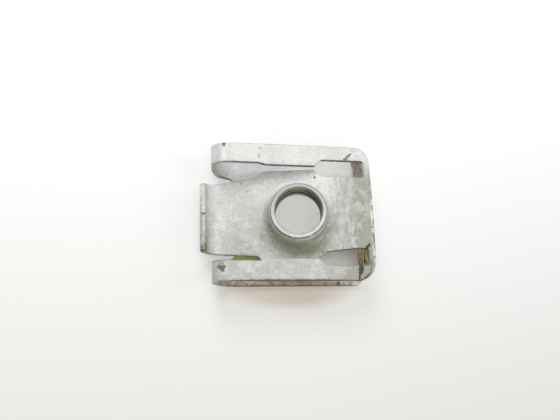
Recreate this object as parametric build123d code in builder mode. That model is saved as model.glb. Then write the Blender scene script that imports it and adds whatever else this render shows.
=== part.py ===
from build123d import *
import os
from math import cos, radians, sin, tan

# One folded spring-steel clip nut. All sizes are in millimetres.
# The origin is the centre of the clearance hole, on the underside of the flat base plate.
# X runs along the clip towards its end wall, Y runs across it, and Z runs up through the thread.

# Sheet and overall sizes
sheet = 0.8
clip_width = 20.3
clip_height = 6.0

# Base plate
plate_reach = 9.9
plate_corner_radius = 1.2
clearance_hole_diameter = 10.0
notch_reach = 9.7
notch_width = 12.6
notch_corner_radius = 1.0

# The two folds that carry the rails back over the base plate
fold_reach = 13.45
lower_fold_radius = 3.8

# End wall, drawn down around both corners of the top layer
end_reach = 10.65
near_corner_radius = 3.0
far_corner_radius = 2.2
far_corner_bulge = 0.2
end_wall_crown = 0.2
end_bend_radius = 0.95
wall_foot_clearance = 0.1
wall_side_relief = 1.6

# Opening that is punched between the rails
fold_opening_width = 14.6
fold_taper_start = 1.0
rail_step_reach = 6.8
rail_step_length = 1.2
shear_width = 14.0

# Slots beside the root of the tongue
slot_outer_width = 16.0
slot_inner_width = 10.8
slot_flank_width = 11.4
slot_wall_gap = 0.5
slot_root_length = 1.51
slot_tip_reach = 1.8
slot_tip_length = 1.0
slot_shoulder_length = 0.45
slot_flank_length = 1.4
slot_corner_radius = 0.4

# Sprung tongue, cut from between the rails and bent down, leaning a little to one side
root_bend_radius = 4.0
tongue_slope = 11.1
shear_clearance = 0.06
tongue_step_reach = 5.8
tongue_step_length = 0.9
tongue_neck_width = 11.8
tongue_end_width = 10.0
tongue_lean = 0.02

# Upturned lip at the free end of the tongue
lip_corner_reach = 14.3
lip_angle = 80.0
lip_bend_radius = 1.9
lip_length = 2.6
lip_corner_radius = 0.9

# Threaded barrel, extruded from the tongue
barrel_reach = 0.7
barrel_side_shift = 0.3
barrel_height = 3.1
thread_minor_diameter = 6.65
barrel_rim_diameter = 8.2
barrel_base_diameter = 9.0
barrel_flare_radius = 1.0
barrel_rim_rounding = 0.2
thread_lead_in = 0.2
barrel_entry_radius = 0.5

# Places that follow from the sizes above
half_sheet = sheet / 2
half_width = clip_width / 2
upper_fold_radius = clip_height - lower_fold_radius
top_middle_z = clip_height - half_sheet
corner_start_x = end_reach - end_wall_crown - near_corner_radius
far_corner_y = half_width + far_corner_bulge
cut_margin = 1.0
opening_floor_z = clip_height - sheet - cut_margin
slope_tan = tan(radians(tongue_slope))
tongue_half = shear_width / 2 - shear_clearance
shoulder_half = (slot_flank_width / 2 + tongue_half) / 2
slot_end_x = end_reach - sheet - slot_wall_gap
root_bend_start_x = slot_end_x - slot_root_length
root_x = root_bend_start_x - root_bend_radius * tan(radians(tongue_slope / 2))
tongue_start_x = root_bend_start_x + sheet
lip_corner_z = top_middle_z - (root_x + lip_corner_reach) * slope_tan
lip_end_x = -lip_corner_reach - lip_length * cos(radians(lip_angle))
lip_end_z = lip_corner_z + lip_length * sin(radians(lip_angle))
tongue_end_reach = cut_margin - lip_end_x
bore_radius = thread_minor_diameter / 2
barrel_top = half_sheet + barrel_height
flare_edge_radius = barrel_base_diameter / 2 + 2 * barrel_flare_radius
barrel_root_z = top_middle_z - (root_x + barrel_reach) * slope_tan
barrel_plane = Plane(
    origin=(-barrel_reach, -barrel_side_shift, barrel_root_z),
    x_dir=(cos(radians(tongue_slope)), 0, sin(radians(tongue_slope))),
    z_dir=(0, -1, 0),
)
barrel_axis = Axis(origin=barrel_plane.origin, direction=barrel_plane.y_dir)

# End wall: a tray end with its top, its end and both rounded corners
with BuildPart() as end_wall:
    with BuildSketch(Plane.XY.offset(sheet + wall_foot_clearance)) as wall_outline:
        with BuildLine():
            Polyline(
                (end_reach - end_wall_crown, far_corner_y),
                (corner_start_x, far_corner_y),
                (corner_start_x, -half_width),
                (end_reach - end_wall_crown, -half_width),
            )
            ThreePointArc(
                (end_reach - end_wall_crown, -half_width),
                (end_reach, 0),
                (end_reach - end_wall_crown, far_corner_y),
            )
        make_face()
        end_corners = wall_outline.vertices().group_by(Axis.X)[-1].sort_by(Axis.Y)
        fillet(end_corners[0], radius=near_corner_radius)
        far_end = wall_outline.vertices().group_by(Axis.Y)[-1].sort_by(Axis.X)[-1]
        fillet(far_end, radius=far_corner_radius)
    extrude(amount=clip_height - sheet - wall_foot_clearance)
    top_edges = end_wall.edges().group_by(Axis.Z)[-1]
    fillet(top_edges.sort_by(Axis.X)[1:], radius=end_bend_radius)
    wall_floor = end_wall.faces().sort_by(Axis.Z)[0]
    wall_back = end_wall.faces().sort_by(Axis.X)[0]
    offset(amount=-sheet, openings=[wall_floor, wall_back])
    with BuildSketch(Plane.XY) as side_relief:
        with Locations((corner_start_x, 0)):
            Rectangle(wall_side_relief, 2 * far_corner_y, align=(Align.MIN, Align.CENTER))
    extrude(amount=clip_height - end_bend_radius, mode=Mode.SUBTRACT)

# Tongue: a strip with its root bend and its lip, trimmed to its plan shape
with BuildPart() as tongue:
    with BuildSketch(Plane.XZ) as tongue_section:
        with BuildLine():
            FilletPolyline(
                (tongue_start_x, top_middle_z),
                (root_x, top_middle_z),
                (-lip_corner_reach, lip_corner_z),
                (lip_end_x, lip_end_z),
                radius=[root_bend_radius, lip_bend_radius],
            )
        trace(line_width=sheet)
    extrude(amount=tongue_half, both=True)
    with BuildSketch(Plane.XY) as tongue_outline:
        with BuildLine():
            far_side = [
                (tongue_start_x, slot_inner_width / 2),
                (root_bend_start_x, slot_inner_width / 2),
                (slot_tip_reach + slot_flank_length, slot_flank_width / 2),
                (slot_tip_reach + slot_shoulder_length, shoulder_half),
                (slot_tip_reach, tongue_half),
                (-tongue_step_reach, tongue_half),
                (-tongue_step_reach - tongue_step_length, tongue_neck_width / 2),
                (-tongue_end_reach, tongue_end_width / 2),
            ]
            near_side = [(x, -y) for x, y in reversed(far_side)]
            leaning = [(x, y - tongue_lean * max(root_bend_start_x - x, 0)) for x, y in far_side + near_side]
            Polyline(*leaning, close=True)
        make_face()
    extrude(amount=clip_height + cut_margin, mode=Mode.INTERSECT)
    lip_faces = tongue.faces().filter_by_position(Axis.X, lip_end_x - sheet, lip_end_x + sheet)
    lip_tip = lip_faces.sort_by(Axis.Z)[-1]
    lip_tip_edges = lip_tip.edges().sort_by(Axis.Y)
    fillet([lip_tip_edges[0], lip_tip_edges[-1]], radius=lip_corner_radius)

    # Barrel and bore share the tilted axis of the tongue
    with BuildSketch(barrel_plane) as barrel_profile:
        with BuildLine():
            FilletPolyline(
                (flare_edge_radius, half_sheet),
                (barrel_base_diameter / 2, half_sheet),
                (barrel_rim_diameter / 2, barrel_top),
                (0, barrel_top),
                radius=[barrel_flare_radius, barrel_rim_rounding],
            )
            Polyline((0, barrel_top), (0, 0), (flare_edge_radius, 0), (flare_edge_radius, half_sheet))
        make_face()
    revolve(axis=barrel_axis)
    with BuildSketch(barrel_plane) as bore_profile:
        with BuildLine():
            FilletPolyline(
                (bore_radius + 2 * barrel_entry_radius, -half_sheet),
                (bore_radius, -half_sheet),
                (bore_radius, barrel_top - thread_lead_in),
                (bore_radius + thread_lead_in, barrel_top),
                radius=[barrel_entry_radius, 0],
            )
            Polyline(
                (bore_radius + thread_lead_in, barrel_top),
                (bore_radius + thread_lead_in, barrel_top + cut_margin),
                (0, barrel_top + cut_margin),
                (0, -sheet - cut_margin),
                (bore_radius + 2 * barrel_entry_radius, -sheet - cut_margin),
                (bore_radius + 2 * barrel_entry_radius, -half_sheet),
            )
        make_face()
    revolve(axis=barrel_axis, mode=Mode.SUBTRACT)

# The whole clip
with BuildPart() as clip:
    # Base plate, folds and top layer are one band of sheet
    with BuildSketch(Plane.XZ) as band_section:
        with BuildLine():
            FilletPolyline(
                (plate_reach, half_sheet),
                (half_sheet - fold_reach, half_sheet),
                (half_sheet - fold_reach, top_middle_z),
                (corner_start_x, top_middle_z),
                radius=[lower_fold_radius - half_sheet, upper_fold_radius - half_sheet],
            )
        trace(line_width=sheet)
    extrude(amount=half_width, both=True)
    plate_corners = clip.edges().filter_by(Axis.Z).group_by(Axis.X)[-1]
    fillet(plate_corners, radius=plate_corner_radius)
    add(end_wall.part)

    # Opening between the rails, with the slots that run on towards the end wall
    with BuildSketch(Plane.XY.offset(opening_floor_z)) as rail_opening:
        with BuildLine():
            Polyline(
                (-fold_reach - cut_margin, 0),
                (-fold_reach - cut_margin, fold_opening_width / 2),
                (-rail_step_reach, fold_opening_width / 2),
                (rail_step_length - rail_step_reach, shear_width / 2),
                (slot_tip_reach, shear_width / 2),
                (slot_tip_reach + slot_tip_length, slot_outer_width / 2),
                (slot_end_x, slot_outer_width / 2),
                (slot_end_x, slot_inner_width / 2),
                (root_bend_start_x, slot_inner_width / 2),
                (root_bend_start_x, 0),
            )
            mirror(about=Plane.XZ)
        make_face()
        slot_ends = rail_opening.vertices().group_by(Axis.X)[-1]
        fillet(slot_ends, radius=slot_corner_radius)
    extrude(amount=sheet + 2 * cut_margin, mode=Mode.SUBTRACT)

    # Notch in the base plate, and the cut through the folds that widens from it up to the rails
    with BuildSketch(Plane.XY) as notch:
        with Locations((-notch_reach, 0)):
            Rectangle(fold_reach, notch_width, align=(Align.MAX, Align.CENTER))
        fillet(notch.vertices().group_by(Axis.X)[-1], radius=notch_corner_radius)
    extrude(amount=2 * sheet, mode=Mode.SUBTRACT)
    with BuildSketch(Plane.YZ.offset(-notch_reach - notch_corner_radius)) as fold_taper:
        with BuildLine():
            Polyline(
                (0, -cut_margin),
                (notch_width / 2, -cut_margin),
                (notch_width / 2, fold_taper_start),
                (fold_opening_width / 2, opening_floor_z),
                (fold_opening_width / 2, clip_height + cut_margin),
                (0, clip_height + cut_margin),
            )
            mirror(about=Plane.YZ)
        make_face()
    extrude(amount=-fold_reach, mode=Mode.SUBTRACT)

    add(tongue.part)

    # Clearance hole for the screw in the base plate
    with BuildSketch(Plane.XY) as clearance_hole:
        Circle(clearance_hole_diameter / 2)
    extrude(amount=sheet, mode=Mode.SUBTRACT)

clip.part.label = "clip_nut"
os.makedirs("parts", exist_ok=True)
export_step(clip.part, "parts/clip_nut.step")
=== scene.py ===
from math import cos, pi, radians, sin

import bmesh
import bpy
from mathutils import Euler, Matrix, Vector


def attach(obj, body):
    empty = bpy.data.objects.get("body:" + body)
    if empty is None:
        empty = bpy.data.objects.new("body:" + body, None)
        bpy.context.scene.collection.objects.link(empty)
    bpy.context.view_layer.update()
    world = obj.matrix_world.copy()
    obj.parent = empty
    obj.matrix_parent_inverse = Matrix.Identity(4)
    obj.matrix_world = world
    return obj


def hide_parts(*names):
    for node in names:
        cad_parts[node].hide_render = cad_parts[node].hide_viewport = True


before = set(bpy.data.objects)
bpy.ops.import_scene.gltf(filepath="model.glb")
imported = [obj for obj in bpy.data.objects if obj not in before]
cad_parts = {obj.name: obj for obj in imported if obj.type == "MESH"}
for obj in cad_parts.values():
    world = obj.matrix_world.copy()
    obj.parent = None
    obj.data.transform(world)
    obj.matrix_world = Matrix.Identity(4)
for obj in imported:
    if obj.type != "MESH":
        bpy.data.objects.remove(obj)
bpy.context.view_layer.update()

MM = 0.001

# Sizes shared with the solid model, in millimetres. The barrel's centre is where its axis
# crosses the middle of the tongue's sheet.
TONGUE_SLOPE = radians(11.1)
BARREL_CENTRE = Vector((-0.7, -0.3, 4.0008))
BORE_RADIUS = 3.325
LEAD_IN_START = 3.3

# Places where the cut edges keep their sharp corners: the barrel, and the small step beside
# each rail's end
BARREL_ZONE = 5.6
STEP_PLACE = Vector((7.45, 10.2, 5.3))
STEP_ZONE = 0.75

# Rounded edges of the sheet, the dirt and painted shade along them and in the inner corners, and the angles
# that tell flat, curved and cut apart
EDGE_RADIUS = 0.07
EDGE_MARK_RADIUS = 0.16
EDGE_SAMPLES = 6
FLAT_ANGLE = radians(0.4)
CUT_EDGE_ANGLE = radians(35)
SMOOTH_ANGLE = radians(50)

# Screw thread, with heights measured up the barrel from its centre
THREAD_PITCH = 1.25
THREAD_DEPTH = 0.5
THREAD_START = 0.08
THREAD_END = 3.5
THREAD_RUN_OUT = 0.2
THREAD_FLAT = 0.14
THREAD_ROUNDING = 0.2
THREAD_STEPS_AROUND = 161
THREAD_STEPS_ALONG = 151
THREAD_WELD = 0.0005

# How far a corner of the solid's bore wall may lie from its formula, and how high a level face may be
BORE_TOLERANCE = 0.03
LEVEL_TOLERANCE = 0.02
SAME_POINT = 0.0001

# Colours of the plating, and of the painted light on it
DULL_ZINC = (0.56, 0.575, 0.57, 1)
BRIGHT_ZINC = (0.70, 0.71, 0.715, 1)
MOTTLED_ZINC = (0.47, 0.48, 0.465, 1)
COOL_ZINC = (0.58, 0.65, 0.68, 1)
DARK_GRAIN = (0.37, 0.375, 0.345, 1)
PALE_GRAIN = (0.84, 0.84, 0.82, 1)
PAINTED_LIGHT_RAIL_ZINC = (0.80, 0.81, 0.80, 1)
PAINTED_LIGHT_BASE_ZINC = (0.95, 0.955, 0.93, 1)
PAINTED_HIGHLIGHT_ZINC = (0.92, 0.94, 0.86, 1)

# Colours of the dirt, the bare steel and the rust, some of them mixed with painted shade and shadow
GRIME_AND_SHADE = (0.35, 0.35, 0.31, 1)
STREAK_GREY = (0.27, 0.275, 0.26, 1)
EDGE_DIRT_AND_SHADE = (0.08, 0.074, 0.052, 1)
BARE_CUT_AND_SHADE = (0.07, 0.065, 0.045, 1)
PALE_BROWN = (0.40, 0.34, 0.25, 1)
DEEP_BROWN = (0.20, 0.155, 0.095, 1)
FAINT_DIRT = (0.10, 0.10, 0.08, 1)
DARK_DIRT_AND_SHADE = (0.07, 0.067, 0.05, 1)
BLACK_DIRT = (0.035, 0.036, 0.028, 1)
OLIVE_DIRT_AND_SHADOW = (0.20, 0.205, 0.10, 1)
YELLOW_GREEN = (0.48, 0.54, 0.13, 1)
THREAD_OIL_AND_SHADE = (0.045, 0.045, 0.026, 1)
FOOT_DIRT_AND_SHADOW = (0.25, 0.255, 0.19, 1)
RIM_LINE = (0.09, 0.09, 0.065, 1)
RIM_GREY = (0.33, 0.34, 0.31, 1)
FLANK_OLIVE = (0.33, 0.34, 0.19, 1)
GOLDEN_RUST = (0.52, 0.31, 0.09, 1)
PALE_GOLDEN_RUST = (1.0, 0.86, 0.52, 1)
BLACK_RUST = (0.03, 0.022, 0.01, 1)
PINKISH_RUST = (0.24, 0.15, 0.115, 1)
PALE_PINKISH_RUST = (0.70, 0.585, 0.51, 1)

# Stains, in millimetres, each as its centre, its reach from the centre, its turn in degrees, how
# ragged its edge is and how fine that edge's grain is
# Painted highlight along the end wall's outer bend
PAINTED_BEND_HIGHLIGHT = ((10.25, -3.5, 5.4), (0.4, 7.5, 1.0), 0, 0.5, 1.2)

BROWN_TINTS = (
    # Near side of the base plate
    ((-2.0, -10.1, 0.6), (14.0, 1.1, 0.8), 0, 0.3, 0.9),
    # Inside of the near fold
    ((-11.6, -10.0, 1.0), (3.6, 1.0, 2.0), 0, 0.4, 0.9),
)

FAINT_SPOTS = (
    # Far rail
    ((-6.5, 9.5, 6.0), (0.36, 0.24, 0.6), 0, 0.6, 4.0),
    ((-6.65, 8.2, 6.0), (0.26, 0.36, 0.6), 0, 0.6, 4.0),
    # Far side of the tongue
    ((-8.06, 3.7, 2.96), (0.22, 0.16, 0.5), 0, 0.5, 4.0),
    ((-8.9, 4.9, 2.8), (0.22, 0.18, 0.5), 0, 0.5, 4.0),
    # Along the lip's edge
    ((-14.95, -1.0, 3.8), (0.22, 4.0, 0.4), 0, 1.2, 1.8),
)

# Dark stains; some are also painted shade
DARK_STAINS_AND_SHADE = (
    # Outer edge of the far fold
    ((-11.8, 9.9, 6.0), (0.3, 0.4, 1.2), 20, 0.5, 4.0),
    # Slanting scratch near the end of the far rail
    ((7.0, 8.7, 6.0), (0.95, 0.2, 0.6), -40, 0.6, 3.0),
    ((6.5, 8.2, 6.0), (0.4, 0.2, 0.6), 0, 0.6, 4.0),
    # Smudge on the near fold
    ((-12.3, -8.15, 5.7), (0.55, 0.5, 1.0), 0, 1.1, 2.1),
    ((-12.15, -8.4, 5.8), (0.26, 0.6, 1.0), 8, 0.8, 2.5),
    # Far edge of the tongue: a spot where the gap beside it narrows, and a line along the far rail, both
    # dirt and painted shade in the gap
    ((-6.3, 6.2, 2.2), (0.5, 0.5, 0.8), 0, 1.0, 2.5),
    ((-2.2, 6.95, 3.0), (5.6, 0.5, 1.8), 0, 0.4, 1.8),
    # Around the near corner of the end wall
    ((9.5, -8.0, 5.7), (0.14, 1.3, 0.7), 8, 0.5, 3.0),
    ((8.85, -9.5, 5.7), (0.14, 0.9, 0.7), 48, 0.5, 3.0),
    # Near edges of the base plate and of the near rail; the line along the base plate's foot is also a
    # painted contact shadow
    ((5.9, -9.9, 0.8), (0.35, 0.5, 0.4), 0, 0.6, 3.0),
    ((-3.5, -10.35, 0.3), (16.5, 0.5, 1.0), 0, 0.35, 1.6),
    ((-2.5, -10.3, 5.7), (13.5, 0.44, 1.0), 0, 0.35, 1.6),
    # Near end of the lip, and a nick in the lip's edge
    ((-14.9, -5.2, 2.6), (0.5, 0.7, 1.6), 0, 0.8, 2.5),
    ((-14.5, -4.9, 3.2), (0.7, 0.5, 1.2), 0, 1.0, 2.5),
    ((-14.6, -0.1, 4.0), (0.3, 0.17, 0.6), 0, 0.5, 4.0),
    # Spot on the tongue beyond the barrel
    ((1.9, 5.5, 4.9), (0.22, 0.22, 0.5), 0, 0.5, 4.0),
    # Outer bend of the end wall
    ((10.6, -3.5, 5.3), (0.45, 6.5, 0.8), 0, 1.6, 1.6),
)

BLACK_STAINS = (
    # Crack across the end of the near rail
    ((7.66, -9.7, 6.0), (0.15, 0.8, 0.7), 5, 0.4, 3.0),
    ((7.9, -8.65, 6.0), (0.42, 0.9, 0.7), 17, 0.4, 3.0),
    # Corner of the tongue beside the near slot's end
    ((9.15, -5.2, 5.8), (0.24, 0.6, 0.8), 35, 0.6, 3.0),
    # Line in the near half of the end wall's bend
    ((10.45, -5.5, 5.2), (0.13, 4.0, 0.6), 0, 1.0, 2.0),
)

# Olive stains; the first two are also the barrel's painted shadow
OLIVE_STAINS_AND_SHADOW = (
    # Tongue beside the near side of the barrel, olive dirt that is also the barrel's painted shadow
    ((-4.6, -3.9, 4.6), (2.4, 1.8, 2.4), 30, 0.8, 1.2),
    ((-0.4, -5.1, 5.0), (5.0, 1.5, 2.4), 0, 0.5, 1.0),
    # Near half of the lip, and the tongue's near edge
    ((-14.4, -4.0, 3.2), (0.9, 1.4, 1.6), 0, 0.9, 2.0),
    ((-9.5, -6.2, 3.0), (3.0, 0.5, 1.4), 0, 0.9, 1.5),
    # End wall, and its near corner
    ((10.7, 0.0, 4.4), (0.5, 10.0, 1.6), 0, 0.9, 1.2),
    ((10.3, -8.2, 5.2), (0.6, 1.4, 1.0), 0, 1.0, 1.4),
    # Base plate below the near gap
    ((-8.0, -6.0, 0.8), (2.6, 1.0, 0.5), 0, 0.6, 1.4),
)

GREEN_STAIN = ((-8.3, -6.3, 1.2), (2.3, 1.1, 1.3), 0, 0.7, 1.4)

BARREL_STAINS = (
    # Near left flank
    ((-2.6, -3.1, 6.0), (1.7, 1.5, 1.9), 0, 0.7, 1.6),
    # Far inner wall
    ((-1.3, 3.4, 6.5), (1.7, 1.1, 1.1), 0, 0.5, 1.6),
)

RUST_STAINS = (
    # Ends of the far and near slots
    ((9.62, 7.6, 2.5), (0.40, 2.3, 3.0), 0, 0.4, 1.3),
    ((9.62, -6.3, 2.5), (0.40, 2.5, 3.0), 0, 0.35, 1.3),
    # Tongue's near edge at the start of the slot
    ((2.6, -6.2, 4.9), (0.7, 0.5, 0.8), 0, 1.3, 2.6),
)

# Table, in metres: darker towards the near side, with a warm painted shadow along the clip's near edge
TABLE_HALF_SIZE = 0.6
TABLE_DROP = -0.01 * MM
NEAR_TABLE = (0.72, 0.725, 0.72, 1)
FAR_TABLE = (0.95, 0.955, 0.98, 1)
RIGHT_SHADE = (0.90, 0.90, 0.92, 1)
PAINTED_SHADOW_TABLE = (0.68, 0.625, 0.56, 1)
NEAR_GLOW = (0.74, 0.725, 0.68, 1)
FAR_GLOW = (0.98, 0.98, 0.97, 1)
PAINTED_SHADOW_GLOW = (0.62, 0.565, 0.50, 1)
GLOW_SHARE = 0.45
PAINTED_SHADOW_PLACE = (-0.0015, -0.0108, 0.0)
PAINTED_SHADOW_FALL_OFF = (78.0, 320.0, 0.0)

# Camera, matched to the picture: place in millimetres, turns about X, Y and Z in degrees, and
# focal length and picture width in pixels
CAMERA_PLACE = Vector((-22.2694, -23.6652, 92.2785))
CAMERA_TURNS = (15.4586, -11.5595, -1.9859)
FOCAL_LENGTH = 633.158
PICTURE_WIDTH = 560.0
SENSOR_WIDTH = 36.0

# Lamps, in metres and watts, each as its name, place, size, energy and colour: a broad one from
# the far side, and weak ones from above, right and near
LAMPS = (
    ("key", (-0.10, 0.30, 0.31), 0.28, 1.22, (0.98, 0.99, 1.0)),
    ("top", (-0.03, -0.03, 0.46), 0.3, 0.33, (1.0, 1.0, 1.0)),
    ("right", (0.36, 0.02, 0.22), 0.25, 0.36, (1.0, 1.0, 0.97)),
    ("near", (0.10, -0.36, 0.15), 0.25, 0.52, (1.0, 0.98, 0.94)),
)
SKY_COLOUR = (1.0, 0.965, 0.90, 1)
SKY_STRENGTH = 0.47


def barrel_matrix():
    """Millimetres in the barrel's frame to metres in the scene."""
    up_slope = Vector((cos(TONGUE_SLOPE), 0, sin(TONGUE_SLOPE)))
    side = Vector((0, 1, 0))
    up_thread = Vector((-sin(TONGUE_SLOPE), 0, cos(TONGUE_SLOPE)))
    matrix = Matrix((up_slope, side, up_thread)).transposed().to_4x4()
    matrix.translation = BARREL_CENTRE
    return Matrix.Scale(MM, 4) @ matrix


# Helpers for materials and geometry nodes
def node(tree, kind, **settings):
    made = tree.nodes.new(kind)
    for name, value in settings.items():
        setattr(made, name, value)
    return made


def link(tree, source, target):
    tree.links.new(source, target)


def feed(tree, socket, value):
    """Give a socket a fixed value, or link it to another socket."""
    if isinstance(value, (int, float, tuple)):
        socket.default_value = value
    else:
        link(tree, value, socket)


def maths(tree, operation, first, second=None, clamp=False):
    made = node(tree, "ShaderNodeMath", operation=operation, use_clamp=clamp)
    feed(tree, made.inputs[0], first)
    if second is not None:
        feed(tree, made.inputs[1], second)
    return made.outputs[0]


def plus(tree, first, *others):
    for other in others:
        first = maths(tree, "ADD", first, other)
    return first


def times(tree, first, *others):
    for other in others:
        first = maths(tree, "MULTIPLY", first, other)
    return first


def either(tree, masks):
    """The strongest of several masks."""
    strongest = masks[0]
    for mask in masks[1:]:
        strongest = maths(tree, "MAXIMUM", strongest, mask)
    return strongest


def remap(tree, value, low, high, out_low=0.0, out_high=1.0, smooth=True):
    made = node(tree, "ShaderNodeMapRange", interpolation_type="SMOOTHSTEP" if smooth else "LINEAR")
    link(tree, value, made.inputs["Value"])
    made.inputs["From Min"].default_value = low
    made.inputs["From Max"].default_value = high
    made.inputs["To Min"].default_value = out_low
    made.inputs["To Max"].default_value = out_high
    return made.outputs[0]


def mix_colour(tree, factor, first, second, blend="MIX"):
    made = node(tree, "ShaderNodeMix", data_type="RGBA", blend_type=blend)
    feed(tree, made.inputs[0], factor)
    feed(tree, made.inputs[6], first)
    feed(tree, made.inputs[7], second)
    return made.outputs[2]


def separated(tree, vector):
    made = node(tree, "ShaderNodeSeparateXYZ")
    link(tree, vector, made.inputs[0])
    return made.outputs


def stretched(tree, place, factors):
    made = node(tree, "ShaderNodeVectorMath", operation="MULTIPLY")
    link(tree, place, made.inputs[0])
    made.inputs[1].default_value = factors
    return made.outputs[0]


def noise(tree, place, scale, detail=4.0, roughness=0.55, distortion=0.0):
    made = node(tree, "ShaderNodeTexNoise")
    link(tree, place, made.inputs["Vector"])
    made.inputs["Scale"].default_value = scale
    made.inputs["Detail"].default_value = detail
    made.inputs["Roughness"].default_value = roughness
    made.inputs["Distortion"].default_value = distortion
    return made.outputs["Fac"]


def group_socket(group, name, direction, kind, value=None):
    socket = group.interface.new_socket(name=name, in_out=direction, socket_type=kind)
    if value is not None:
        socket.default_value = value


# Stains
def stain_group():
    """A ragged patch: 1 inside an ellipsoid, 0 outside, with a torn edge."""
    group = bpy.data.node_groups.new("Stain patch", "ShaderNodeTree")
    group_socket(group, "Place", "INPUT", "NodeSocketVector")
    group_socket(group, "Centre", "INPUT", "NodeSocketVector", (0, 0, 0))
    group_socket(group, "Reach", "INPUT", "NodeSocketVector", (1, 1, 1))
    group_socket(group, "Turn", "INPUT", "NodeSocketFloat", 0.0)
    group_socket(group, "Ragged", "INPUT", "NodeSocketFloat", 0.5)
    group_socket(group, "Grain", "INPUT", "NodeSocketFloat", 2.0)
    group_socket(group, "Mask", "OUTPUT", "NodeSocketFloat")
    start = node(group, "NodeGroupInput")
    end = node(group, "NodeGroupOutput")
    offset = node(group, "ShaderNodeVectorMath", operation="SUBTRACT")
    link(group, start.outputs["Place"], offset.inputs[0])
    link(group, start.outputs["Centre"], offset.inputs[1])
    turned = node(group, "ShaderNodeVectorRotate", rotation_type="Z_AXIS")
    link(group, offset.outputs[0], turned.inputs["Vector"])
    link(group, start.outputs["Turn"], turned.inputs["Angle"])
    scaled = node(group, "ShaderNodeVectorMath", operation="DIVIDE")
    link(group, turned.outputs[0], scaled.inputs[0])
    link(group, start.outputs["Reach"], scaled.inputs[1])
    length = node(group, "ShaderNodeVectorMath", operation="LENGTH")
    link(group, scaled.outputs[0], length.inputs[0])
    grain = node(group, "ShaderNodeTexNoise")
    link(group, start.outputs["Place"], grain.inputs["Vector"])
    link(group, start.outputs["Grain"], grain.inputs["Scale"])
    grain.inputs["Detail"].default_value = 5.0
    grain.inputs["Roughness"].default_value = 0.65
    centred = maths(group, "SUBTRACT", grain.outputs["Fac"], 0.5)
    torn = times(group, centred, start.outputs["Ragged"], 4.0)
    distance = plus(group, length.outputs["Value"], torn)
    link(group, remap(group, distance, 1.15, 0.55), end.inputs["Mask"])
    return group


STAIN_GROUP = stain_group()


def stain(tree, place, centre, reach, turn, ragged, grain):
    made = node(tree, "ShaderNodeGroup", node_tree=STAIN_GROUP)
    link(tree, place, made.inputs["Place"])
    made.inputs["Centre"].default_value = centre
    made.inputs["Reach"].default_value = reach
    made.inputs["Turn"].default_value = radians(turn)
    made.inputs["Ragged"].default_value = ragged
    made.inputs["Grain"].default_value = grain
    return made.outputs["Mask"]


def stains(tree, place, patches):
    return either(tree, [stain(tree, place, *patch) for patch in patches])


# Steel
def plating(tree, place, clouds, patches, grain):
    """Zinc with cloudy patches, mottling and a fine dark and pale grain, cooler in places."""
    tone = mix_colour(tree, remap(tree, clouds, 0.35, 0.65), DULL_ZINC, BRIGHT_ZINC)
    tone = mix_colour(tree, remap(tree, patches, 0.45, 0.72, 0.0, 0.6), tone, MOTTLED_ZINC)
    tone = mix_colour(tree, remap(tree, grain, 0.50, 0.70, 0.0, 0.8), tone, DARK_GRAIN)
    tone = mix_colour(tree, remap(tree, grain, 0.48, 0.30, 0.0, 0.5), tone, PALE_GRAIN)
    cool = remap(tree, noise(tree, place, 0.33, 2.0), 0.48, 0.62, 0.0, 0.2)
    return mix_colour(tree, cool, tone, COOL_ZINC)


def grime_and_shade_film(tree, place, tone):
    """A thin film of grime, thicker near the end wall and towards the lip, and on the near rail, where it
    is also painted shade.
    """
    x, y, z = separated(tree, place)
    # Painted shade and grime, growing towards the near rail
    near_rail_grime_and_shade = remap(tree, y, 1.0, -10.0, 0.0, 0.68)
    by_end_wall = times(tree, remap(tree, x, 3.0, 8.8, 0.0, 1.1), remap(tree, y, 7.5, 4.5))
    on_tongue = remap(tree, maths(tree, "ABSOLUTE", y), 7.4, 7.0)
    by_lip = times(tree, remap(tree, x, -4.5, -9.0, 0.0, 0.42), on_tongue)
    film = plus(tree, near_rail_grime_and_shade, by_end_wall, by_lip)
    above_base = remap(tree, z, 1.6, 2.8)
    patchy = remap(tree, noise(tree, place, 0.8, 5.0, 0.7), 0.32, 0.62, 0.25, 1.0)
    return mix_colour(tree, times(tree, film, above_base, patchy), tone, GRIME_AND_SHADE)


def painted_light_far_rail(tree, place, tone):
    # Painted light: paler on the far rail and beyond its inner edge
    y = separated(tree, place)[1]
    return mix_colour(tree, remap(tree, y, 7.2, 8.0, 0.0, 0.25), tone, PAINTED_LIGHT_RAIL_ZINC)


def streaked_tongue(tree, place, tone):
    """Grey streaks across the tongue between the barrel and the end wall."""
    x, y, z = separated(tree, place)
    streaks = remap(tree, noise(tree, stretched(tree, place, (2.2, 0.45, 1.0)), 1.0, 4.0, 0.65), 0.48, 0.62)
    past_barrel = remap(tree, x, 3.5, 5.0)
    on_tongue = remap(tree, maths(tree, "ABSOLUTE", y), 7.4, 5.5)
    above_base = remap(tree, z, 2.6, 3.2, 0.0, 0.5)
    return mix_colour(tree, times(tree, streaks, past_barrel, on_tongue, above_base), tone, STREAK_GREY)


def painted_light_base(tree, place, tone):
    """Painted light: the inside of the base plate is paler below the slots, most of all below the near one.
    """
    x, y, z = separated(tree, place)
    on_inside = times(tree, remap(tree, z, 1.8, 1.0), remap(tree, z, 0.5, 0.7))
    below_slots = remap(tree, x, -3.0, 1.0)
    amount = remap(tree, y, -5.0, 5.0, 0.85, 0.55)
    return mix_colour(tree, times(tree, on_inside, below_slots, amount), tone, PAINTED_LIGHT_BASE_ZINC)


def edge_dirt_and_corner_shade(tree, normal, gathered):
    """Mask of the dirt along the cut edges, and of painted shade in the inner corners."""
    softened = node(tree, "ShaderNodeBevel", samples=EDGE_SAMPLES)
    softened.inputs["Radius"].default_value = EDGE_MARK_RADIUS * MM
    likeness = node(tree, "ShaderNodeVectorMath", operation="DOT_PRODUCT")
    link(tree, softened.outputs[0], likeness.inputs[0])
    link(tree, normal, likeness.inputs[1])
    return times(tree, remap(tree, likeness.outputs["Value"], 0.99, 0.90), gathered)


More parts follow.
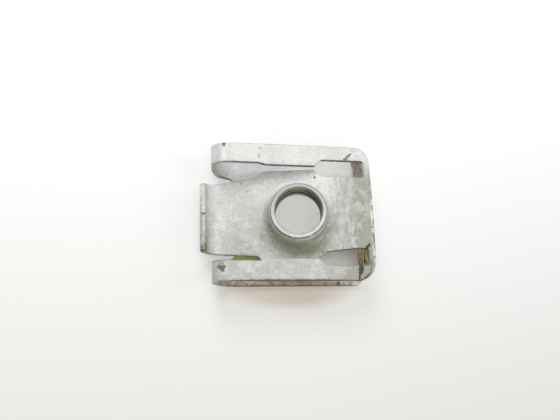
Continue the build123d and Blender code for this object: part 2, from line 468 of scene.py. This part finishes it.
def cut_faces_and_shade(tree, place, normal, gathered):
    """Mask of the dark cut faces along the sides, bare steel with painted shade; the barrel and the end
    wall have none.
    """
    facing = node(tree, "ShaderNodeVectorTransform", vector_type="NORMAL")
    facing.convert_from = "WORLD"
    facing.convert_to = "OBJECT"
    link(tree, normal, facing.inputs[0])
    sideways = maths(tree, "ABSOLUTE", separated(tree, facing.outputs[0])[1])
    from_barrel = node(tree, "ShaderNodeVectorMath", operation="DISTANCE")
    link(tree, place, from_barrel.inputs[0])
    from_barrel.inputs[1].default_value = BARREL_CENTRE
    x = separated(tree, place)[0]
    faces_side = remap(tree, sideways, 0.6, 0.85)
    off_barrel = remap(tree, from_barrel.outputs["Value"], 5.3, 5.5)
    before_end_wall = remap(tree, x, 9.6, 9.4)
    weaker_at_folds = remap(tree, x, -12.5, -9.0, 0.45, 1.0)
    patchy = remap(tree, gathered, 0.35, 0.8, 0.55, 0.85)
    return times(tree, faces_side, off_barrel, before_end_wall, weaker_at_folds, patchy)


def barrel_place(tree, place):
    """Distance from the thread's axis, sideways place and height, in the barrel's frame."""
    to_barrel = node(tree, "ShaderNodeMapping", vector_type="TEXTURE")
    link(tree, place, to_barrel.inputs["Vector"])
    to_barrel.inputs["Location"].default_value = BARREL_CENTRE
    to_barrel.inputs["Rotation"].default_value = (0, -TONGUE_SLOPE, 0)
    along, side, up = separated(tree, to_barrel.outputs[0])
    squares = plus(tree, maths(tree, "POWER", along, 2.0), maths(tree, "POWER", side, 2.0))
    return maths(tree, "SQRT", squares), side, up


def barrel_dirt_and_shade(tree, place, tone, gathered):
    """Oily threads with painted shade deeper in the bore, a ring of dirt around the foot with the barrel's
    painted shadow on its near side, a line around the rim and olive dirt on the flank.
    """
    across, side, up = barrel_place(tree, place)

    # Oily dark metal in the threads with painted shade, darker in the grooves and further down the bore,
    # paler on their crests
    inside = times(tree, remap(tree, across, 3.95, 3.87), remap(tree, up, 3.45, 3.36))
    groove_oil_and_shade = remap(tree, across, 3.36, 3.58, 0.35, 1.0)
    deeper_shade = remap(tree, up, 3.4, 2.0, 0.75, 1.0)
    tone = mix_colour(tree, times(tree, inside, groove_oil_and_shade, deeper_shade), tone, THREAD_OIL_AND_SHADE)

    # Dirt on the tongue around the barrel, and a painted shadow of the barrel on its near side
    ring = times(tree, remap(tree, across, 7.8, 4.5), remap(tree, across, 4.2, 4.35))
    near_side_shadow = remap(tree, side, 3.0, -2.0, 0.1, 0.8)
    patchy = remap(tree, gathered, 0.35, 0.9, 0.6, 1.0)
    tone = mix_colour(tree, times(tree, ring, near_side_shadow, patchy), tone, FOOT_DIRT_AND_SHADOW)

    # Dark line around the rim's outer edge, and a greyer rim on the far side
    rim_edge = remap(tree, side, -1.0, 2.0, 4.06, 3.97)
    off_edge = maths(tree, "ABSOLUTE", maths(tree, "SUBTRACT", across, rim_edge))
    line = times(tree, remap(tree, off_edge, 0.12, 0.03), remap(tree, up, 3.0, 3.15),
                 remap(tree, gathered, 0.35, 0.8, 0.55, 0.95))
    tone = mix_colour(tree, line, tone, RIM_LINE)
    rim_top = times(tree, remap(tree, up, 3.3, 3.42), remap(tree, across, 4.3, 4.1))
    grey = times(tree, rim_top, remap(tree, side, -2.5, 2.5, 0.0, 0.62))
    tone = mix_colour(tree, grey, tone, RIM_GREY)

    # Olive dirt, weaker on the rim
    strength = maths(tree, "SUBTRACT", 0.7, times(tree, rim_top, 0.6))
    return mix_colour(tree, times(tree, stains(tree, place, BARREL_STAINS), strength), tone, FLANK_OLIVE)


def rust(tree, place):
    """Golden and streaked in the near slot, pinkish brown elsewhere."""
    grain = noise(tree, stretched(tree, place, (1.0, 0.5, 1.0)), 3.4, 3.0, 0.6, 0.6)
    golden = mix_colour(tree, remap(tree, grain, 0.38, 0.56), GOLDEN_RUST, PALE_GOLDEN_RUST)
    streaks = remap(tree, noise(tree, stretched(tree, place, (1.0, 0.4, 1.0)), 2.6, 2.0), 0.53, 0.56)
    golden = mix_colour(tree, streaks, golden, BLACK_RUST)
    pinkish = mix_colour(tree, remap(tree, grain, 0.40, 0.62), PINKISH_RUST, PALE_PINKISH_RUST)
    x, y = separated(tree, place)[:2]
    in_near_slot = times(tree, remap(tree, y, 1.0, -1.0), remap(tree, x, 5.0, 7.0))
    return mix_colour(tree, in_near_slot, pinkish, golden)


def relief(tree, place, patches, grain, dark):
    """Soft waviness, a fine plated grain and pitted stains, over rounded edges."""
    height = plus(tree, times(tree, noise(tree, place, 0.5, 2.0), 0.07), times(tree, patches, 0.04),
                  times(tree, grain, 0.012))
    height = maths(tree, "SUBTRACT", height, times(tree, dark, 0.03))
    bump = node(tree, "ShaderNodeBump")
    bump.inputs["Strength"].default_value = 1.0
    bump.inputs["Distance"].default_value = MM
    link(tree, height, bump.inputs["Height"])
    rounded = node(tree, "ShaderNodeBevel", samples=EDGE_SAMPLES)
    rounded.inputs["Radius"].default_value = EDGE_RADIUS * MM
    link(tree, rounded.outputs[0], bump.inputs["Normal"])
    return bump.outputs[0]


def steel_material():
    material = bpy.data.materials.new("zinc plated spring steel")
    material.use_nodes = True
    tree = material.node_tree
    tree.nodes.clear()
    output = node(tree, "ShaderNodeOutputMaterial")
    shader = node(tree, "ShaderNodeBsdfPrincipled")
    link(tree, shader.outputs[0], output.inputs["Surface"])
    shader.inputs["Specular IOR Level"].default_value = 0.3
    where = node(tree, "ShaderNodeTexCoord")
    to_mm = node(tree, "ShaderNodeVectorMath", operation="SCALE")
    link(tree, where.outputs["Object"], to_mm.inputs[0])
    to_mm.inputs["Scale"].default_value = 1.0 / MM
    place = to_mm.outputs[0]
    normal = node(tree, "ShaderNodeNewGeometry").outputs["Normal"]

    # Patterns that several layers share
    clouds = noise(tree, place, 0.25, 4.0, 0.6, 0.5)
    patches = noise(tree, place, 1.1, 5.0, 0.65, 0.4)
    grain = noise(tree, place, 4.5, 4.0, 0.7)
    gathered = remap(tree, noise(tree, place, 1.4, 5.0, 0.7), 0.38, 0.58, 0.35, 1.0)

    # Plating and its wear, with painted light on the far rail, the inside of the base plate and the end
    # wall's bend, and painted shade on the near rail
    tone = plating(tree, place, clouds, patches, grain)
    tone = grime_and_shade_film(tree, place, tone)
    # Painted light on the far rail
    tone = painted_light_far_rail(tree, place, tone)
    tone = streaked_tongue(tree, place, tone)
    # Painted light on the inside of the base plate below the slots
    tone = painted_light_base(tree, place, tone)
    # Painted highlight on the end wall's outer bend
    tone = mix_colour(tree, times(tree, stain(tree, place, *PAINTED_BEND_HIGHLIGHT), 0.7), tone, PAINTED_HIGHLIGHT_ZINC)

    # Cut edges and cut faces, with painted shade in the inner corners and on the side-facing cut faces
    # Dirt along the cut edges, and painted shade in the inner corners
    edge_dirt_and_shade = edge_dirt_and_corner_shade(tree, normal, gathered)
    tone = mix_colour(tree, times(tree, edge_dirt_and_shade, 0.9), tone, EDGE_DIRT_AND_SHADE)
    # Bare steel and painted shade on the side-facing cut faces
    tone = mix_colour(tree, cut_faces_and_shade(tree, place, normal, gathered), tone, BARE_CUT_AND_SHADE)
    brown = mix_colour(tree, remap(tree, patches, 0.42, 0.62), PALE_BROWN, DEEP_BROWN)
    tone = mix_colour(tree, times(tree, stains(tree, place, BROWN_TINTS), 0.85), tone, brown)

    # Spots, stains and rust at the places where the clip shows them, with painted shade and shadow among
    # the dark and olive marks
    tone = mix_colour(tree, times(tree, stains(tree, place, FAINT_SPOTS), 0.4), tone, FAINT_DIRT)
    # Dark dirt, and painted shade along the tongue's far edge and at the base plate's foot
    dark = stains(tree, place, DARK_STAINS_AND_SHADE)
    tone = mix_colour(tree, times(tree, dark, 0.82), tone, DARK_DIRT_AND_SHADE)
    black = maths(tree, "MULTIPLY", stains(tree, place, BLACK_STAINS), 1.5, clamp=True)
    tone = mix_colour(tree, times(tree, black, 0.92), tone, BLACK_DIRT)
    # Olive dirt, which beside the barrel's near side is also its painted shadow
    olive = stains(tree, place, OLIVE_STAINS_AND_SHADOW)
    tone = mix_colour(tree, times(tree, olive, 0.38), tone, OLIVE_DIRT_AND_SHADOW)
    tone = mix_colour(tree, times(tree, stain(tree, place, *GREEN_STAIN), 0.8), tone, YELLOW_GREEN)
    tone = barrel_dirt_and_shade(tree, place, tone, gathered)
    rusted = stains(tree, place, RUST_STAINS)
    tone = mix_colour(tree, times(tree, rusted, 0.9), tone, rust(tree, place))
    link(tree, tone, shader.inputs["Base Color"])

    # Soiled steel and painted shade are rougher and hide the metal
    soiled_and_shaded = either(tree, [rusted, dark, black, times(tree, olive, 0.6), edge_dirt_and_shade])
    link(tree, remap(tree, soiled_and_shaded, 0.1, 0.8, 0.3, 0.02), shader.inputs["Metallic"])
    rough = either(tree, [remap(tree, clouds, 0.3, 0.7, 0.48, 0.58), times(tree, soiled_and_shaded, 0.8)])
    link(tree, rough, shader.inputs["Roughness"])
    link(tree, relief(tree, place, patches, grain, dark), shader.inputs["Normal"])
    return material


# Thread
def thread_tree(material):
    """Geometry nodes: a grid rolled into a bore wall whose radius follows a screw thread."""
    tree = bpy.data.node_groups.new("Rolled thread", "GeometryNodeTree")
    group_socket(tree, "Geometry", "OUTPUT", "NodeSocketGeometry")
    group_socket(tree, "Crest Radius", "INPUT", "NodeSocketFloat", BORE_RADIUS)
    group_socket(tree, "Thread Depth", "INPUT", "NodeSocketFloat", THREAD_DEPTH)
    group_socket(tree, "Pitch", "INPUT", "NodeSocketFloat", THREAD_PITCH)
    group_socket(tree, "Start", "INPUT", "NodeSocketFloat", THREAD_START)
    group_socket(tree, "End", "INPUT", "NodeSocketFloat", THREAD_END)
    group_socket(tree, "Run-out", "INPUT", "NodeSocketFloat", THREAD_RUN_OUT)
    group_socket(tree, "Lead-in Start", "INPUT", "NodeSocketFloat", LEAD_IN_START)
    group_socket(tree, "Steps Around", "INPUT", "NodeSocketInt", THREAD_STEPS_AROUND)
    group_socket(tree, "Steps Along", "INPUT", "NodeSocketInt", THREAD_STEPS_ALONG)
    start = node(tree, "NodeGroupInput")
    end = node(tree, "NodeGroupOutput")
    size = start.outputs

    grid = node(tree, "GeometryNodeMeshGrid")
    grid.inputs["Size X"].default_value = 1.0
    grid.inputs["Size Y"].default_value = 1.0
    link(tree, size["Steps Around"], grid.inputs["Vertices X"])
    link(tree, size["Steps Along"], grid.inputs["Vertices Y"])

    # Turn around the axis and height up it, from the grid's two sides
    x, y = separated(tree, node(tree, "GeometryNodeInputPosition").outputs[0])[:2]
    turn = plus(tree, x, 0.5)
    length = maths(tree, "SUBTRACT", size["End"], size["Start"])
    height = plus(tree, times(tree, plus(tree, y, 0.5), length), size["Start"])

    # Thread form: a sawtooth with rounded crests and roots
    phase = maths(tree, "SUBTRACT", maths(tree, "DIVIDE", height, size["Pitch"]), turn)
    saw = maths(tree, "PINGPONG", times(tree, phase, 2.0), 1.0)
    flank = maths(tree, "SMOOTH_MIN", saw, 1.0 - THREAD_FLAT)
    flank.node.inputs[2].default_value = THREAD_ROUNDING
    flank = maths(tree, "SMOOTH_MAX", flank, THREAD_FLAT)
    flank.node.inputs[2].default_value = THREAD_ROUNDING

    # The groove runs out at both ends, and the bore widens at its mouth
    above_start = maths(tree, "SUBTRACT", height, size["Start"])
    from_start = maths(tree, "DIVIDE", above_start, size["Run-out"], clamp=True)
    below_end = maths(tree, "SUBTRACT", size["End"], height)
    from_end = maths(tree, "DIVIDE", below_end, size["Run-out"], clamp=True)
    groove = times(tree, flank, size["Thread Depth"], from_start, from_end)
    lead_in = maths(tree, "MAXIMUM", maths(tree, "SUBTRACT", height, size["Lead-in Start"]), 0.0)
    radius = plus(tree, size["Crest Radius"], maths(tree, "MAXIMUM", groove, lead_in))

    angle = times(tree, turn, 2 * pi)
    spot = node(tree, "ShaderNodeCombineXYZ")
    link(tree, times(tree, radius, maths(tree, "COSINE", angle)), spot.inputs[0])
    link(tree, times(tree, radius, maths(tree, "SINE", angle)), spot.inputs[1])
    link(tree, height, spot.inputs[2])
    rolled = node(tree, "GeometryNodeSetPosition")
    link(tree, grid.outputs["Mesh"], rolled.inputs["Geometry"])
    link(tree, spot.outputs[0], rolled.inputs["Position"])
    weld = node(tree, "GeometryNodeMergeByDistance")
    weld.inputs["Distance"].default_value = THREAD_WELD
    link(tree, rolled.outputs[0], weld.inputs[0])
    inward = node(tree, "GeometryNodeFlipFaces")
    link(tree, weld.outputs[0], inward.inputs[0])
    smooth = node(tree, "GeometryNodeSetShadeSmooth")
    link(tree, inward.outputs[0], smooth.inputs[0])
    paint = node(tree, "GeometryNodeSetMaterial")
    paint.inputs["Material"].default_value = material
    link(tree, smooth.outputs[0], paint.inputs[0])
    link(tree, paint.outputs[0], end.inputs[0])
    return tree


def thread_wall(material):
    """The threaded wall as a plain mesh, in its place in the barrel."""
    carrier = bpy.data.objects.new("barrel_thread", bpy.data.meshes.new("barrel_thread_start"))
    bpy.context.scene.collection.objects.link(carrier)
    modifier = carrier.modifiers.new("build", "NODES")
    modifier.node_group = thread_tree(material)
    depsgraph = bpy.context.evaluated_depsgraph_get()
    wall = bpy.data.meshes.new_from_object(carrier.evaluated_get(depsgraph))
    bpy.data.objects.remove(carrier)
    wall.name = "barrel_thread"
    wall.transform(barrel_matrix())
    return wall


# Body
def open_bore(surface, into_barrel):
    """Take away the smooth bore wall and its lead-in, which give way to the threaded wall."""
    wall = []
    for face in surface.faces:
        spots = [into_barrel @ vert.co for vert in face.verts]
        gaps = [Vector((s.x, s.y)).length - BORE_RADIUS - max(s.z - LEAD_IN_START, 0) for s in spots]
        is_level = max(s.z for s in spots) - min(s.z for s in spots) < LEVEL_TOLERANCE
        if all(abs(gap) < BORE_TOLERANCE for gap in gaps) and not is_level:
            wall.append(face)
    bmesh.ops.delete(surface, geom=wall, context="FACES_ONLY")


def mark_cut_edges(surface, into_barrel):
    """Weigh the outward cut edges of the sheet, which are the ones that get rounded."""
    weights = surface.edges.layers.float.new("bevel_weight_edge")
    for edge in surface.edges:
        in_barrel = any((into_barrel @ vert.co).length < BARREL_ZONE for vert in edge.verts)
        spots = [Vector((vert.co.x, abs(vert.co.y), vert.co.z)) / MM for vert in edge.verts]
        at_step = any((spot - STEP_PLACE).length < STEP_ZONE for spot in spots)
        is_cut = len(edge.link_faces) == 2 and edge.calc_face_angle() > CUT_EDGE_ANGLE and edge.is_convex
        if is_cut and not in_barrel and not at_step:
            edge[weights] = 1.0


def close_seams(surface, into_barrel):
    """Join each end of the threaded wall to the hole that it sits in."""
    middle = (THREAD_START + THREAD_END) / 2
    upper = []
    lower = []
    for edge in surface.edges:
        if edge.is_boundary:
            ring = upper if (into_barrel @ edge.verts[0].co).z > middle else lower
            ring.append(edge)
    for ring in (upper, lower):
        bmesh.ops.bridge_loops(surface, edges=ring)


def apply_modifiers(body):
    depsgraph = bpy.context.evaluated_depsgraph_get()
    mesh = bpy.data.meshes.new_from_object(body.evaluated_get(depsgraph))
    body.modifiers.clear()
    body.data = mesh
    return mesh


def clip_body(material):
    """The solid's own surface with rounded edges and the threaded bore wall."""
    into_barrel = barrel_matrix().inverted()
    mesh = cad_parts["clip_nut"].data.copy()
    body = bpy.data.objects.new("clip_body", mesh)
    bpy.context.scene.collection.objects.link(body)
    surface = bmesh.new()
    surface.from_mesh(mesh)
    bmesh.ops.remove_doubles(surface, verts=surface.verts, dist=SAME_POINT * MM)
    open_bore(surface, into_barrel)
    bmesh.ops.dissolve_limit(surface, angle_limit=FLAT_ANGLE, verts=surface.verts, edges=surface.edges,
                             delimit={"NORMAL"})
    mark_cut_edges(surface, into_barrel)
    surface.to_mesh(mesh)
    surface.free()

    rounding = body.modifiers.new("edges", "BEVEL")
    rounding.width = EDGE_RADIUS * MM
    rounding.segments = 2
    rounding.limit_method = "WEIGHT"
    rounding.use_clamp_overlap = False
    rounding.harden_normals = False
    rounded = apply_modifiers(body)

    joined = bmesh.new()
    joined.from_mesh(rounded)
    joined.from_mesh(thread_wall(material))
    close_seams(joined, into_barrel)
    joined.to_mesh(rounded)
    joined.free()
    rounded.materials.clear()
    rounded.materials.append(material)
    for polygon in rounded.polygons:
        polygon.use_smooth = True
        polygon.material_index = 0
    rounded.set_sharp_from_angle(angle=SMOOTH_ANGLE)

    # Large flat faces keep their own direction beside the small rounded edges
    weighting = body.modifiers.new("shading", "WEIGHTED_NORMAL")
    weighting.keep_sharp = True
    apply_modifiers(body).name = "clip_body"
    return body


clip = clip_body(steel_material())
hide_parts("clip_nut")
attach(clip, "root")


# Table
def table_material():
    material = bpy.data.materials.new("pale table")
    material.use_nodes = True
    tree = material.node_tree
    shader = tree.nodes["Principled BSDF"]
    shader.inputs["Roughness"].default_value = 0.9
    shader.inputs["Specular IOR Level"].default_value = 0.0
    place = node(tree, "ShaderNodeTexCoord").outputs["Object"]
    x, y = separated(tree, place)[:2]
    depth = remap(tree, y, -0.035, 0.02, smooth=False)
    to_right = remap(tree, x, 0.0, 0.05, smooth=False)

    # Warm painted shadow in front of the clip's near edge
    offset = node(tree, "ShaderNodeVectorMath", operation="SUBTRACT")
    link(tree, place, offset.inputs[0])
    offset.inputs[1].default_value = PAINTED_SHADOW_PLACE
    distance = node(tree, "ShaderNodeVectorMath", operation="LENGTH")
    link(tree, stretched(tree, offset.outputs[0], PAINTED_SHADOW_FALL_OFF), distance.inputs[0])
    painted_shadow = remap(tree, distance.outputs["Value"], 1.0, 0.45)

    tone = mix_colour(tree, depth, NEAR_TABLE, FAR_TABLE)
    tone = mix_colour(tree, to_right, tone, RIGHT_SHADE, "MULTIPLY")
    link(tree, mix_colour(tree, painted_shadow, tone, PAINTED_SHADOW_TABLE), shader.inputs["Base Color"])

    # Part of the table's colour shows as it is to the camera and in reflections
    glow = node(tree, "ShaderNodeEmission")
    glow.inputs["Strength"].default_value = 1.0
    glow_tone = mix_colour(tree, depth, NEAR_GLOW, FAR_GLOW)
    link(tree, mix_colour(tree, painted_shadow, glow_tone, PAINTED_SHADOW_GLOW), glow.inputs["Color"])
    path = node(tree, "ShaderNodeLightPath")
    seen = maths(tree, "MAXIMUM", path.outputs["Is Camera Ray"], path.outputs["Is Glossy Ray"])
    blend = node(tree, "ShaderNodeMixShader")
    link(tree, times(tree, seen, GLOW_SHARE), blend.inputs[0])
    link(tree, shader.outputs[0], blend.inputs[1])
    link(tree, glow.outputs[0], blend.inputs[2])
    link(tree, blend.outputs[0], tree.nodes["Material Output"].inputs["Surface"])
    return material


def make_table():
    mesh = bpy.data.meshes.new("table")
    signs = ((-1, -1), (1, -1), (1, 1), (-1, 1))
    corners = [(x * TABLE_HALF_SIZE, y * TABLE_HALF_SIZE, TABLE_DROP) for x, y in signs]
    mesh.from_pydata(corners, [], [(0, 1, 2, 3)])
    mesh.materials.append(table_material())
    table = bpy.data.objects.new("table", mesh)
    bpy.context.scene.collection.objects.link(table)


make_table()


# Camera
def make_camera():
    camera = bpy.data.cameras.new("camera")
    camera.sensor_width = SENSOR_WIDTH
    camera.lens = FOCAL_LENGTH * SENSOR_WIDTH / PICTURE_WIDTH
    camera.clip_start = 0.001
    stand = bpy.data.objects.new("camera", camera)
    turns = Euler([radians(turn) for turn in CAMERA_TURNS])
    stand.matrix_world = Matrix.Translation(CAMERA_PLACE * MM) @ turns.to_matrix().to_4x4()
    bpy.context.scene.collection.objects.link(stand)
    bpy.context.scene.camera = stand


make_camera()


# Light from the lamps, and an even sky
def make_lamp(name, place, size, energy, colour):
    lamp = bpy.data.lights.new(name, "AREA")
    lamp.shape = "DISK"
    lamp.size = size
    lamp.energy = energy
    lamp.color = colour
    stand = bpy.data.objects.new(name, lamp)
    stand.location = place
    stand.rotation_euler = (-Vector(place)).to_track_quat("-Z", "Y").to_euler()
    bpy.context.scene.collection.objects.link(stand)


def make_sky():
    world = bpy.data.worlds.new("sky")
    bpy.context.scene.world = world
    world.use_nodes = True
    background = world.node_tree.nodes["Background"]
    background.inputs["Color"].default_value = SKY_COLOUR
    background.inputs["Strength"].default_value = SKY_STRENGTH


for lamp_values in LAMPS:
    make_lamp(*lamp_values)
make_sky()
bpy.context.scene.view_settings.view_transform = "Standard"
